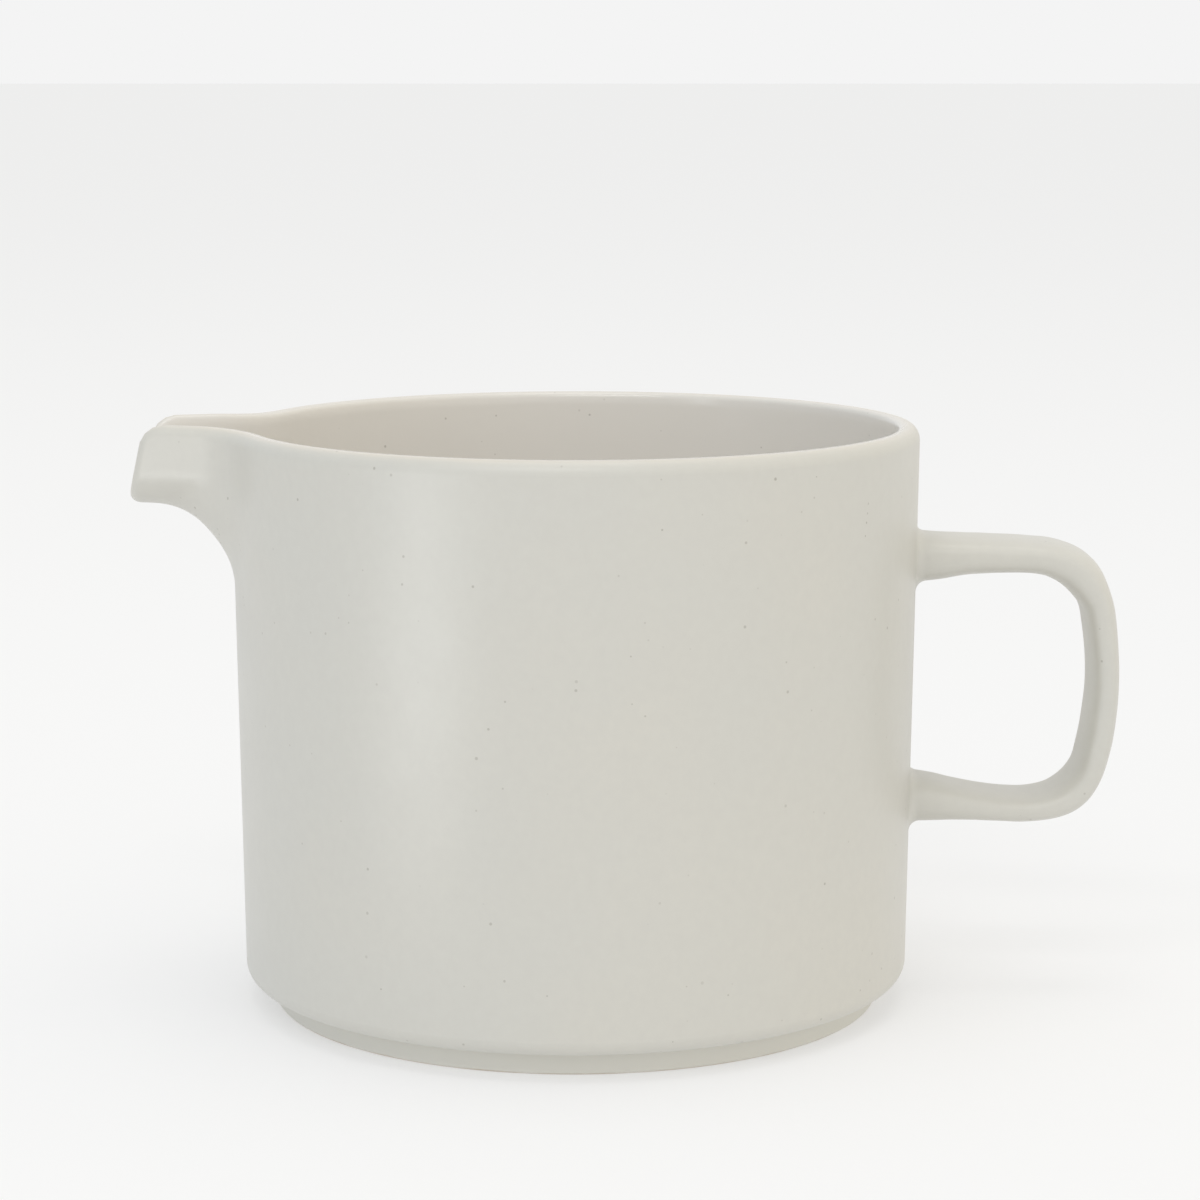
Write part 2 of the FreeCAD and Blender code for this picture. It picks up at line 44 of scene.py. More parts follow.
# ------------------------------------------------------------------ numbers
RIM_R, RIM_H, TAPER, WALL = 62.65, 106.23, 0.0143, 4.0
BASE_H, FLOOR_Z, BASE_RC, INNER_RC = 4.35, 9.0, 3.0, 8.0
RIM_RISE, LIP_RISE = 2.6, 1.9
INNER_POWER = 4.2   # how tight the rim is on its inner side
NOTCH = math.radians(28.0)
NOTCH_Z = 70.0
SEAM = math.radians(0.37)
SEAM_Z = 0.4
SPOUT_T, SPOUT_Z, SPOUT_W, SPOUT_P, FLARE = 3.0, 93.42, 10.53, 70.0, 0.287
SPOUT_RC, LIP_LOW, LIP_LEAN, LIP_BOW, LIP_RC = 5.3, 79.11, 0.214, 0.0059, 2.1
TOP_UP = 0.47
K_SIDE, C_SIDE, K_UNDER, C_UNDER = 8.05, 0.238, 16.5, 0.302
FOOT_R, FOOT_W = 55.8, 5.2


def wall_radius(z):
    return RIM_R - TAPER * (RIM_H - z)


def smooth(x):
    x = np.clip(x, 0.0, 1.0)
    return x * x * (3 - 2 * x)


# ------------------------------------------------------------ spout surface
# p = -X, q = Y, z. The middle of the clay sheet is where middle() is zero.

FLARE_COS = 1.0 / math.sqrt(1.0 + FLARE ** 2)


def middle(P):
    p, q, z = P[..., 0], P[..., 1], P[..., 2]
    wall = np.hypot(p, q) - wall_radius(z) + WALL / 2
    half = SPOUT_W + FLARE * (SPOUT_P - p)
    a = (np.abs(q) - half) * FLARE_COS + SPOUT_RC
    b = SPOUT_Z - z + SPOUT_RC
    u, v = np.maximum(a, 0.0), np.maximum(b, 0.0)
    length = np.hypot(u, v)
    trough = length + np.minimum(np.maximum(a, b), 0.0) - SPOUT_RC
    under = np.where(length > 1e-9, (v / np.maximum(length, 1e-9)) ** 2, (b > a) * 1.0)
    k = K_SIDE + (K_UNDER - K_SIDE) * under
    c = C_SIDE + (C_UNDER - C_SIDE) * under
    h = np.maximum(k - np.abs(wall - trough), 0.0) / k
    return np.minimum(wall, trough) - k * h * h * (3 * c - 0.5 + (0.5 - 2 * c) * h)


def wall_only(P):
    return np.hypot(P[..., 0], P[..., 1]) - wall_radius(P[..., 2]) + WALL / 2


def rise(P):
    return RIM_RISE + (LIP_RISE - RIM_RISE) * smooth(
        (np.hypot(P[..., 0], P[..., 1]) - 60.8) / 8.0)


def thickness(P):
    return WALL + (SPOUT_T - WALL) * smooth((np.hypot(P[..., 0], P[..., 1]) - 60.8) / 8.0)


def lip_cut(P):
    p, q, z = P[..., 0], P[..., 1], P[..., 2]
    rc = LIP_RC
    top = z - (RIM_H + TOP_UP * smooth((p - 56.0) / 12.0) - rise(P)) + rc
    lean = math.sqrt(1.0 + LIP_LEAN ** 2)
    front = (p - LIP_LOW + LIP_BOW * q * q + LIP_LEAN * (z - SPOUT_Z)) / lean + rc
    return (np.hypot(np.maximum(top, 0), np.maximum(front, 0))
            + np.minimum(np.maximum(top, front), 0.0) - rc)


def gradient(f, P):
    e = 1e-4
    out = np.empty_like(P)
    for axis in range(3):
        d = np.zeros(3)
        d[axis] = e
        out[..., axis] = (f(P + d) - f(P - d)) / (2 * e)
    return out


def unit(V):
    return V / np.maximum(np.linalg.norm(V, axis=-1, keepdims=True), 1e-12)


def onto(f, P, rounds=6):
    for _ in range(rounds):
        g = gradient(f, P)
        P = P - (f(P) / np.maximum((g * g).sum(-1), 1e-9))[..., None] * g
    return P


def onto_both(P):
    for _ in range(30):
        f, g = middle(P), lip_cut(P)
        a, b = gradient(middle, P), gradient(lip_cut, P)
        aa, bb, ab = (a * a).sum(-1), (b * b).sum(-1), (a * b).sum(-1)
        det = aa * bb - ab * ab
        s = (f * bb - g * ab) / det
        t = (g * aa - f * ab) / det
        P = P - s[..., None] * a - t[..., None] * b
    return P


def resample(points, count):
    run = np.concatenate([[0.0], np.cumsum(np.linalg.norm(np.diff(points, axis=0), axis=1))])
    t = np.linspace(0, run[-1], count + 1)
    return np.stack([np.interp(t, run, points[:, k]) for k in range(3)], -1)


def lip_line(count):
    P = onto_both(np.array([LIP_LOW, 0.0, SPOUT_Z]))
    P[1] = 0.0
    line, heading = [P], np.array([0.0, 1.0, 0.0])
    for _ in range(1200):
        t = unit(np.cross(gradient(middle, P), gradient(lip_cut, P)))
        if t @ heading < 0:
            t = -t
        heading = t
        P = onto_both(P + 0.15 * t)
        if math.atan2(P[1], P[0]) >= NOTCH:
            break
        line.append(P)
    z = RIM_H - RIM_RISE
    r = wall_radius(z) - WALL / 2
    line.append(np.array([r * math.cos(NOTCH), r * math.sin(NOTCH), z]))
    points = resample(np.array(line), count)
    points[1:-1] = onto_both(points[1:-1])
    return points


def relax(net, rounds):
    for _ in range(rounds):
        left = np.concatenate([net[1:2] * [1, -1, 1], net[:-2]])
        inner = (left + net[1:] * 1.0)[:, 1:-1]
        moved = (inner + net[:-1, :-2] + net[:-1, 2:]) / 4
        moved = onto(middle, moved, 1)
        moved[0, :, 1] = 0.0
        net[:-1, 1:-1] = moved
    return net


def start_net(columns, rows):
    lip = lip_line(columns)
    r0 = wall_radius(NOTCH_Z) - WALL / 2
    net = np.zeros((columns + 1, rows + 1, 3))
    t = np.linspace(0, 1, rows + 1)
    for i in range(columns + 1):
        angle = NOTCH * i / columns
        foot = np.array([r0 * math.cos(angle), r0 * math.sin(angle), NOTCH_Z])
        head = lip[i]
        net[i, :, 2] = foot[2] + (head[2] - foot[2]) * (1 - (1 - t) ** 1.3)
        s = t ** 2.2
        net[i, :, 0] = foot[0] + (head[0] - foot[0]) * s
        net[i, :, 1] = foot[1] + (head[1] - foot[1]) * s
    z = NOTCH_Z + (RIM_H - RIM_RISE - NOTCH_Z) * t
    r = wall_radius(z) - WALL / 2
    net[columns] = np.stack([r * math.cos(NOTCH), r * math.sin(NOTCH), z], -1)
    return net


def finer(net, factor, columns, rows):
    """The same net with factor times as many cells, its edges kept exact."""
    def along(a, n):
        x = np.linspace(0, a.shape[0] - 1, n + 1)
        i = np.clip(x.astype(int), 0, a.shape[0] - 2)
        f = (x - i)[:, None, None]
        return a[i] * (1 - f) + a[i + 1] * f
    big = along(net, columns)
    big = along(big.transpose(1, 0, 2), rows).transpose(1, 0, 2)
    fixed = start_net(columns, rows)
    big[:, 0], big[:, -1], big[-1] = fixed[:, 0], fixed[:, -1], fixed[-1]
    return big


def sheet_net(columns, rows):
    net = relax(start_net(columns // 4, rows // 4), 500)
    net = relax(finer(net, 2, columns // 2, rows // 2), 250)
    net = relax(finer(net, 2, columns, rows), 160)
    net[:-1, 1:-1] = onto(middle, net[:-1, 1:-1], 8)
    net[0, :, 1] = 0.0
    return net


# ------------------------------------------------- one grid for the vessel
PATCH = 44          # columns of half the spout's patch
ROWS = 36           # rows from the notch's floor to the rim line
ROUND = 10          # steps over the rim


def vessel_grid():
    """Profile points and normals for every column round the vessel. Column 0
    is at +NOTCH side of -X, going on round by +Y. Returns arrays [column,
    point, 3] of positions and normals, and the row numbers that matter."""
    half = sheet_net(PATCH, ROWS)
    patch = np.concatenate([half[::-1] * [1, -1, 1], half[1:]])      # q from - to +
    angles_patch = np.linspace(-NOTCH, NOTCH, 2 * PATCH + 1)
    rest = 2 * math.pi - 2 * (NOTCH + SEAM)
    count = 176
    angles_rest = NOTCH + SEAM + rest * np.arange(count + 1) / count
    angles = np.concatenate([angles_patch, angles_rest])            # full turn, no repeat
    columns = len(angles)

    # lower wall and floor, the same in every column: (r, z, nr, nz)
    n_out = np.array([1.0, -TAPER]) / math.hypot(1.0, TAPER)
    low = [(0, BASE_H, 0, -1), (18, BASE_H, 0, -1), (36, BASE_H, 0, -1), (49, BASE_H, 0, -1),
           (53.2, BASE_H, 0, -1), (56.6, BASE_H, 0, -1)]
    r3 = wall_radius(BASE_H + BASE_RC) - BASE_RC
    for k in range(0, 11):
        a = math.radians(90) * k / 10
        low.append((r3 + BASE_RC * math.sin(a), BASE_H + BASE_RC - BASE_RC * math.cos(a),
                    math.sin(a), -math.cos(a)))
    z_lower = list(np.linspace(BASE_H + BASE_RC, NOTCH_Z - SEAM_Z, 26))[1:] + [NOTCH_Z]
    z_in0 = FLOOR_Z + INNER_RC
    low = np.array(low)
    wall_z = np.array(z_lower)
    wall_out = np.stack([wall_radius(wall_z), wall_z, 0 * wall_z + n_out[0], 0 * wall_z + n_out[1]], -1)
    z_inner = [z for z in wall_z if z > z_in0 + 0.8][::-1]          # going down
    wall_in = np.array([(wall_radius(z) - WALL, z, -n_out[0], -n_out[1]) for z in z_inner])
    floor = []
    r8 = wall_radius(z_in0) - WALL - INNER_RC
    for k in range(0, 15):
        a = math.radians(90) * k / 14
        floor.append((r8 + INNER_RC * math.cos(a), z_in0 - INNER_RC * math.sin(a),
                      -math.cos(a), math.sin(a)))
    for r in (44, 36, 24, 12, 0):
        floor.append((r, FLOOR_Z, 0, 1))
    floor = np.array(floor)

    first = np.concatenate([low, wall_out])                         # ... up to NOTCH_Z
    last = np.concatenate([wall_in, floor])                         # from NOTCH_Z down
    cut = len(first) - 2          # row at NOTCH_Z - SEAM_Z, outside
    top0 = len(first) - 1         # row at NOTCH_Z, outside

    def turn(profile, angle):
        c, s = math.cos(angle), math.sin(angle)
        r, z, nr, nz = profile.T
        return (np.stack([r * c, r * s, z], -1), np.stack([nr * c, nr * s, nz], -1))

    # middle-sheet columns from the notch's floor to the lip line
    z = NOTCH_Z + (RIM_H - RIM_RISE - NOTCH_Z) * np.linspace(0, 1, ROWS + 1)
    r = wall_radius(z) - WALL / 2
    sheets = [patch[i] for i in range(2 * PATCH + 1)]
    for a in angles_rest:
        sheets.append(np.stack([r * math.cos(a), r * math.sin(a), z], -1))
    sheets = np.array(sheets)
    n = np.concatenate([unit(gradient(middle, sheets[:2 * PATCH + 1])),
                        unit(gradient(wall_only, sheets[2 * PATCH + 1:]))])
    h = (thickness(sheets) / 2)[..., None]
    outer, inner = sheets + h * n, sheets - h * n
    head = sheets[:, -1]
    nh, hh = n[:, -1], h[:, -1]
    c = gradient(lip_cut, head)
    c = unit(c - (c * nh).sum(-1, keepdims=True) * nh)
    b = rise(head)[:, None]
    P, N, edge = [], [], []
    arc_p, arc_n = [], []
    for m in range(1, ROUND):
        # generous round outside, tight round inside
        a = math.pi * m / ROUND
        power = 2.0 if 2 * m <= ROUND else INNER_POWER
        across = math.copysign(abs(math.cos(a)) ** (2 / power), math.cos(a))
        up = math.sin(a) ** (2 / power)
        arc_p.append(head + hh * across * nh + b * up * c)
        across = math.copysign(abs(across) ** (power - 1), across)
        arc_n.append(unit(across / hh * nh + up ** (power - 1) / b * c))
    arc_p, arc_n = np.array(arc_p).transpose(1, 0, 2), np.array(arc_n).transpose(1, 0, 2)
    for i, a in enumerate(angles):
        p0, n0 = turn(first[:-1], a)
        p1, n1 = turn(last[1:], a)
        P.append(np.concatenate([p0, outer[i], arc_p[i], inner[i][::-1], p1]))
        N.append(np.concatenate([n0, n[i], arc_n[i], -n[i][::-1], n1]))
    P, N = np.array(P), np.array(N)
    rows = {
        "cut": cut, "top": top0, "lip": top0 + ROWS, "lip_in": top0 + ROWS + ROUND,
        "top_in": top0 + 2 * ROWS + ROUND, "cut_in": top0 + 2 * ROWS + ROUND + 1,
        "count": P.shape[1], "patch": 2 * PATCH, "columns": columns,
    }
    return P, N, rows


def to_row(P):
    """From p, q, z in millimetres to the row frame in metres."""
    return np.stack([-P[..., 0], P[..., 1], P[..., 2]], -1) * MM


class Mesher:
    """Collects faces as vertex keys, with a normal for each corner or None
    where the face is a flat cut."""

    def __init__(self):
        self.keys, self.co, self.faces = {}, [], []
        self.normals, self.marks = [], []

    def vertex(self, key, co, marks=(0.0, 0.0)):
        if key not in self.keys:
            self.keys[key] = len(self.co)
            self.co.append(co)
            self.marks.append(marks)
        return self.keys[key]

    def face(self, corners, normals):
        """corners: vertex numbers; normals: one per corner, or None."""
        seen, c, n = set(), [], []
        for k, v in enumerate(corners):
            if v not in seen:
                seen.add(v)
                c.append(v)
                n.append(None if normals is None else normals[k])
        if len(c) > 2:
            self.faces.append(c)
            self.normals.append(None if normals is None else n)

    def build(self, name, mirror_winding=True):
        mesh = bpy.data.meshes.new(name)
        co = np.array(self.co, float)
        mesh.from_pydata([tuple(v) for v in co], [], self.faces)
        mesh.validate()
        mesh.update()
        bm = bmesh.new()
        bm.from_mesh(mesh)
        bmesh.ops.recalc_face_normals(bm, faces=bm.faces)
        if bm.calc_volume(signed=True) < 0:
            bmesh.ops.reverse_faces(bm, faces=bm.faces)
        bm.to_mesh(mesh)
        bm.free()
        mesh.update()
        # corner normals, found by face and vertex whatever way the face was turned
        wanted = []
        for poly, corners, normals in zip(mesh.polygons, self.faces, self.normals):
            table = None if normals is None else dict(zip(corners, normals))
            flat = poly.normal
            for loop in poly.loop_indices:
                v = mesh.loops[loop].vertex_index
                if table is None:
                    wanted.append(flat[:])
                else:
                    n = table[v]
                    wanted.append((float(n[0]), float(n[1]), float(n[2])))
        mesh.shade_smooth()
        mesh.normals_split_custom_set(wanted)
        for k, label in enumerate(("edge", "inside")):
            layer = mesh.attributes.new(label, "FLOAT", "POINT")
            layer.data.foreach_set("value", np.array([m[k] for m in self.marks], np.float32))
        piece = bpy.data.objects.new(name, mesh)
        bpy.context.scene.collection.objects.link(piece)
        return piece


def vessel_pieces():
    P, N, R = vessel_grid()
    X = to_row(P)
    NX = np.stack([-N[..., 0], N[..., 1], N[..., 2]], -1)
    columns, patch = R["columns"], R["patch"]
    count = R["count"]

    def marks(i, j):
        step = j - R["lip"]
        edge = math.exp(-((step - 0.48 * ROUND) / (0.15 * ROUND)) ** 2)
        inside = smooth(np.array((step - 0.25 * ROUND) / (0.6 * ROUND))).item()
        return (edge, inside)

    def key(i, j):
        if j in (0, count - 1):
            return ("pole", j)
        return (i % columns, j)

    def add(m, i, j):
        i = i % columns
        return m.vertex(key(i, j), X[i, j], marks(i, j))

    def grid(m, i0, i1, j0, j1):
        for i in range(i0, i1):
            for j in range(j0, j1):
                ids = [(i, j), (i + 1, j), (i + 1, j + 1), (i, j + 1)]
                m.face([add(m, a, b) for a, b in ids],
                       [NX[a % columns, b] for a, b in ids])

    def strip(m, i0, i1, j0, j1):
        """Flat faces across the wall between outside row j0 and inside row j1."""
        for i in range(i0, i1):
            m.face([add(m, i, j0), add(m, i + 1, j0), add(m, i + 1, j1), add(m, i, j1)], None)

    def ladder(m, i, j0, j1):
        """Flat faces that close column i between rows j0 (outside) and j1 (inside)."""
        a, b = j0, j1
        while b - a > 1:
            m.face([add(m, i, a), add(m, i, a + 1), add(m, i, b - 1), add(m, i, b)], None)
            a, b = a + 1, b - 1

    cut, top, top_in, cut_in = R["cut"], R["top"], R["top_in"], R["cut_in"]
    side0, side1 = patch + 1, columns - 1      # columns at +-(NOTCH + SEAM)

    spout = Mesher()
    grid(spout, 0, patch, top, top_in)
    strip(spout, 0, patch, top, top_in)
    ladder(spout, 0, top, top_in)
    ladder(spout, patch, top, top_in)

    seam = Mesher()
    grid(seam, patch, side0, cut, cut_in)
    grid(seam, side1, side1 + 1, cut, cut_in)
    grid(seam, 0, patch, cut, top)
    grid(seam, 0, patch, top_in, cut_in)
    strip(seam, 0, patch, top, top_in)
    strip(seam, 0, side0, cut, cut_in)
    strip(seam, side1, side1 + 1, cut, cut_in)
    ladder(seam, side0, cut, cut_in)
    ladder(seam, side1, cut, cut_in)
    ladder(seam, 0, top, top_in)
    ladder(seam, patch, top, top_in)

    body = Mesher()
    grid(body, 0, columns, 0, cut)
    grid(body, 0, columns, cut_in, count - 1)
    grid(body, side0, side1, cut, cut_in)
    strip(body, 0, side0, cut, cut_in)
    strip(body, side1, columns, cut, cut_in)
    ladder(body, side0, cut, cut_in)
    ladder(body, side1, cut, cut_in)
    return body.build("glazed_vessel"), spout.build("glazed_spout"), seam.build("spout_joint")


# ------------------------------------------------------------------- handle
# Middle line stations from the upper root to the lower: x, z.
LINE = np.array([
    (58.45, 81.44), (62.63, 81.76), (66.93, 81.88), (69.36, 82.07), (71.79, 82.17),
    (74.23, 82.22), (76.67, 82.21), (79.10, 82.19), (81.54, 82.13), (83.97, 81.95),
    (86.38, 81.63), (88.70, 80.88), (90.88, 79.79), (92.72, 78.20), (94.13, 76.22),
    (95.27, 74.06), (95.96, 71.73), (96.34, 69.32), (96.65, 66.91), (96.89, 64.48),
    (97.06, 62.05), (97.13, 59.62), (97.10, 57.18), (96.96, 54.75), (96.71, 52.33),
    (96.41, 49.91), (96.00, 47.51), (95.47, 45.13), (94.84, 42.78), (93.79, 40.58),
    (92.32, 38.64), (90.42, 37.12), (88.20, 36.11), (85.82, 35.57), (83.40, 35.30),
    (80.97, 35.28), (78.53, 35.41), (76.11, 35.60), (73.68, 35.84), (71.26, 36.09),
    (68.84, 36.34), (66.42, 36.60), (62.13, 36.94), (57.95, 37.37)])
# Thickness along the line: share of its length from root to root, millimetres.
THICK = np.array([
    (0.0000, 8.80), (0.0375, 8.74), (0.0759, 7.98), (0.0976, 7.39), (0.1194, 6.93),
    (0.1411, 6.71), (0.1629, 6.48), (0.1846, 6.34), (0.2064, 6.21), (0.2281, 6.16),
    (0.2499, 6.42), (0.2716, 6.77), (0.2934, 7.15), (0.3151, 7.17), (0.3369, 6.59),
    (0.3586, 5.90), (0.3804, 5.69), (0.4021, 5.61), (0.4239, 5.49), (0.4456, 5.39),
    (0.4674, 5.34), (0.4891, 5.31), (0.5109, 5.30), (0.5326, 5.36), (0.5544, 5.43),
    (0.5761, 5.44), (0.5979, 5.45), (0.6196, 5.40), (0.6414, 5.28), (0.6631, 5.45),
    (0.6849, 5.73), (0.7066, 5.69), (0.7284, 5.36), (0.7501, 5.16), (0.7719, 5.05),
    (0.7936, 5.15), (0.8154, 5.16), (0.8371, 5.39), (0.8589, 5.70), (0.8806, 6.19),
    (0.9024, 6.77), (0.9241, 7.52), (0.9625, 8.35), (1.0000, 8.43)])
HANDLE_W = 16.8
POWER = 2.9
AROUND = 64
SPAN = 150
FILLET = 2.1


def spline_through(points):
    """Natural cubic spline through points, as a function of arc length."""
    points = np.asarray(points, float)
    s = np.concatenate([[0], np.cumsum(np.linalg.norm(np.diff(points, axis=0), axis=1))])
    n = len(s)
    A, B = np.zeros((n, n)), np.zeros((n, points.shape[1]))
    A[0, 0] = A[-1, -1] = 1
    for i in range(1, n - 1):
        h0, h1 = s[i] - s[i - 1], s[i + 1] - s[i]
        A[i, i - 1], A[i, i], A[i, i + 1] = h0, 2 * (h0 + h1), h1
        B[i] = 6 * ((points[i + 1] - points[i]) / h1 - (points[i] - points[i - 1]) / h0)
    M = np.linalg.solve(A, B)

    def at(t, slope=False):
        t = np.asarray(t, float)
        i = np.clip(np.searchsorted(s, t, side="right") - 1, 0, n - 2)
        h = (s[i + 1] - s[i])[..., None]
        a = (s[i + 1] - t)[..., None]
        b = (t - s[i])[..., None]
        if slope:
            return (-M[i] * a ** 2 / (2 * h) + M[i + 1] * b ** 2 / (2 * h)
                    + (points[i + 1] - points[i]) / h - h / 6 * (M[i + 1] - M[i]))
        return (M[i] * a ** 3 / (6 * h) + M[i + 1] * b ** 3 / (6 * h)
                + (points[i] / h - M[i] * h / 6) * a + (points[i + 1] / h - M[i + 1] * h / 6) * b)
    return at, s[-1]


centre, LENGTH = spline_through(LINE)


def thick_at(s):
    x, y = THICK[:, 0] * LENGTH, THICK[:, 1]
    # smooth monotone steps between the table's values
    i = np.clip(np.searchsorted(x, s, side="right") - 1, 0, len(x) - 2)
    d = np.diff(y) / np.diff(x)
    m = np.concatenate([[d[0]], (d[1:] + d[:-1]) / 2, [d[-1]]])
    h = x[i + 1] - x[i]
    t = np.clip((s - x[i]) / h, 0, 1)
    return ((2 * t ** 3 - 3 * t ** 2 + 1) * y[i] + (t ** 3 - 2 * t ** 2 + t) * h * m[i]
            + (-2 * t ** 3 + 3 * t ** 2) * y[i + 1] + (t ** 3 - t ** 2) * h * m[i + 1])


def strap(u, s):
    """Point of the strap's skin, in millimetres in the row frame. u goes round
    the section, s along the middle line."""
    c, t = centre(s), unit(centre(s, True))
    n = np.stack([-t[..., 1], t[..., 0]], -1)
    cu, su = np.cos(u), np.sin(u)
    a = np.sign(cu) * np.abs(cu) ** (2 / POWER) * HANDLE_W / 2
    b = np.sign(su) * np.abs(su) ** (2 / POWER) * thick_at(s) / 2
    return np.stack([c[..., 0] + b * n[..., 0], a + 0 * b, c[..., 1] + b * n[..., 1]], -1)


def wall_gap(P):
    return np.hypot(P[..., 0], P[..., 1]) - wall_radius(P[..., 2])


def meet(u, s0, s1, gap):
    """Where along the middle line the strap's skin is that far from the wall."""
    lo, hi = np.full_like(u, s0), np.full_like(u, s1)
    for _ in range(50):
        mid = (lo + hi) / 2
        near = (wall_gap(strap(u, mid)) - gap) * (wall_gap(strap(u, lo)) - gap) > 0
        lo, hi = np.where(near, mid, lo), np.where(near, hi, mid)
    return (lo + hi) / 2


def even_angles():
    """Angles that space the section's points evenly round its outline."""
    u = np.linspace(0, 2 * math.pi, 4001)
    a = np.sign(np.cos(u)) * np.abs(np.cos(u)) ** (2 / POWER) * HANDLE_W / 2
    b = np.sign(np.sin(u)) * np.abs(np.sin(u)) ** (2 / POWER) * 3.1
    run = np.concatenate([[0], np.cumsum(np.hypot(np.diff(a), np.diff(b)))])
    even = np.linspace(0, run[-1], AROUND, endpoint=False)
    return np.interp(even, run, u)


def section_normals(P):
    """Skin normals of a grid [row, around], outwards."""
    du = np.roll(P, -1, 1) - np.roll(P, 1, 1)
    ds = np.gradient(P, axis=0)
    return unit(np.cross(du, ds))


def handle_pieces():
    u = even_angles()
    mid = LENGTH / 2
    s_up, s_low = meet(u, 0.3, 20.0, 0.0), meet(u, LENGTH - 20.0, LENGTH - 0.3, 0.0)
    e_up, e_low = meet(u, 0.3, 20.0, 0.4), meet(u, LENGTH - 20.0, LENGTH - 0.3, 0.4)
    a_up, a_low = s_up + FILLET, s_low - FILLET
    t = np.linspace(0, 1, SPAN + 1)[:, None]
    main = strap(u[None, :], a_up[None, :] * (1 - t) + a_low[None, :] * t)
    n_main = section_normals(main)

    def collar(s_wall, s_edge, sign, n_edge):
        """Slip collar rows from the strap's skin out to the wall."""
        P = strap(u, s_wall)
        A = strap(u, s_edge)
        wall_n = unit(np.stack([P[:, 0], P[:, 1], -TAPER * np.hypot(P[:, 0], P[:, 1])], -1))
        w = n_edge - (n_edge * wall_n).sum(-1, keepdims=True) * wall_n
        w = unit(w)
        B = P + FILLET * w
        rad = np.hypot(B[:, 0], B[:, 1])
        scale = (wall_radius(B[:, 2]) - 0.02) / rad
        B = np.stack([B[:, 0] * scale, B[:, 1] * scale, B[:, 2]], -1)
        n_b = unit(np.stack([B[:, 0], B[:, 1], -TAPER * np.hypot(B[:, 0], B[:, 1])], -1))
        rows, normals = [], []
        c1, c2 = A + 0.60 * (P - A), B + 0.60 * (P - B)
        for k in range(11):
            f = k / 10
            rows.append((1 - f) ** 3 * A + 3 * (1 - f) ** 2 * f * c1
                        + 3 * (1 - f) * f ** 2 * c2 + f ** 3 * B)
        rows = np.array(rows)
        n = section_normals(rows)
        if (n[5] * (n_edge + n_b)).sum() < 0:
            n = -n
        n[0], n[-1] = n_edge, n_b
        return rows, n

    up, n_up = collar(s_up, a_up, 1, n_main[0])
    low, n_low = collar(s_low, a_low, -1, n_main[-1])

    def ring(m, name, row, points, normals=None, edge=0.0):
        return [m.vertex((name, row, k), points[k] * MM, (edge, 0.0)) for k in range(AROUND)]

    handle = Mesher()
    rings = [ring(handle, "skin", j, main[j]) for j in range(SPAN + 1)]
    for j in range(SPAN):
        for k in range(AROUND):
            k2 = (k + 1) % AROUND
            handle.face([rings[j][k], rings[j][k2], rings[j + 1][k2], rings[j + 1][k]],
                        [n_main[j, k], n_main[j, k2], n_main[j + 1, k2], n_main[j + 1, k]])
    for name, edge_ring, s_edge, s_end in (("up", rings[0], a_up, e_up), ("low", rings[-1], a_low, e_low)):
        previous = edge_ring
        for step in (0.5, 1.0):
            pts = strap(u, s_edge * (1 - step) + s_end * step)
            this = ring(handle, name, step, pts)
            for k in range(AROUND):
                k2 = (k + 1) % AROUND
                handle.face([previous[k], previous[k2], this[k2], this[k]], None)
            previous = this
        hub = handle.vertex((name, "hub"), pts.mean(0) * MM + np.array([0.0004, 0, 0]))
        for k in range(AROUND):
            handle.face([previous[k], previous[(k + 1) % AROUND], hub], None)

    collars = []
    for name, label, rows, normals, s_edge, s_end in (
            ("up", "handle_upper_joint", up, n_up, a_up, e_up),
            ("low", "handle_lower_joint", low, n_low, a_low, e_low)):
        m = Mesher()
        rr = [ring(m, "skin", j, rows[j]) for j in range(len(rows))]
        for j in range(len(rows) - 1):
            for k in range(AROUND):
                k2 = (k + 1) % AROUND
                m.face([rr[j][k], rr[j][k2], rr[j + 1][k2], rr[j + 1][k]],
                       [normals[j, k], normals[j, k2], normals[j + 1, k2], normals[j + 1, k]])
        previous = rr[0]
        for step in (0.5, 1.0):
            pts = strap(u, s_edge * (1 - step) + s_end * step)
            this = ring(m, "core", step, pts)
            for k in range(AROUND):
                k2 = (k + 1) % AROUND
                m.face([previous[k], previous[k2], this[k2], this[k]], None)
            previous = this
        hub = m.vertex(("core", "hub"), pts.mean(0) * MM + np.array([0.0004, 0, 0]))
        for k in range(AROUND):
            m.face([previous[k], previous[(k + 1) % AROUND], hub], None)
        centre_wall = rows[-1].mean(0)
        scale = (wall_radius(centre_wall[2]) - 0.02) / math.hypot(centre_wall[0], centre_wall[1])
        centre_wall = np.array([centre_wall[0] * scale, centre_wall[1] * scale, centre_wall[2]])
        hub = m.vertex(("wall", "hub"), centre_wall * MM)
        for k in range(AROUND):
            m.face([rr[-1][k], rr[-1][(k + 1) % AROUND], hub], None)
        collars.append(m.build(label))
    return handle.build("glazed_handle"), collars[0], collars[1]


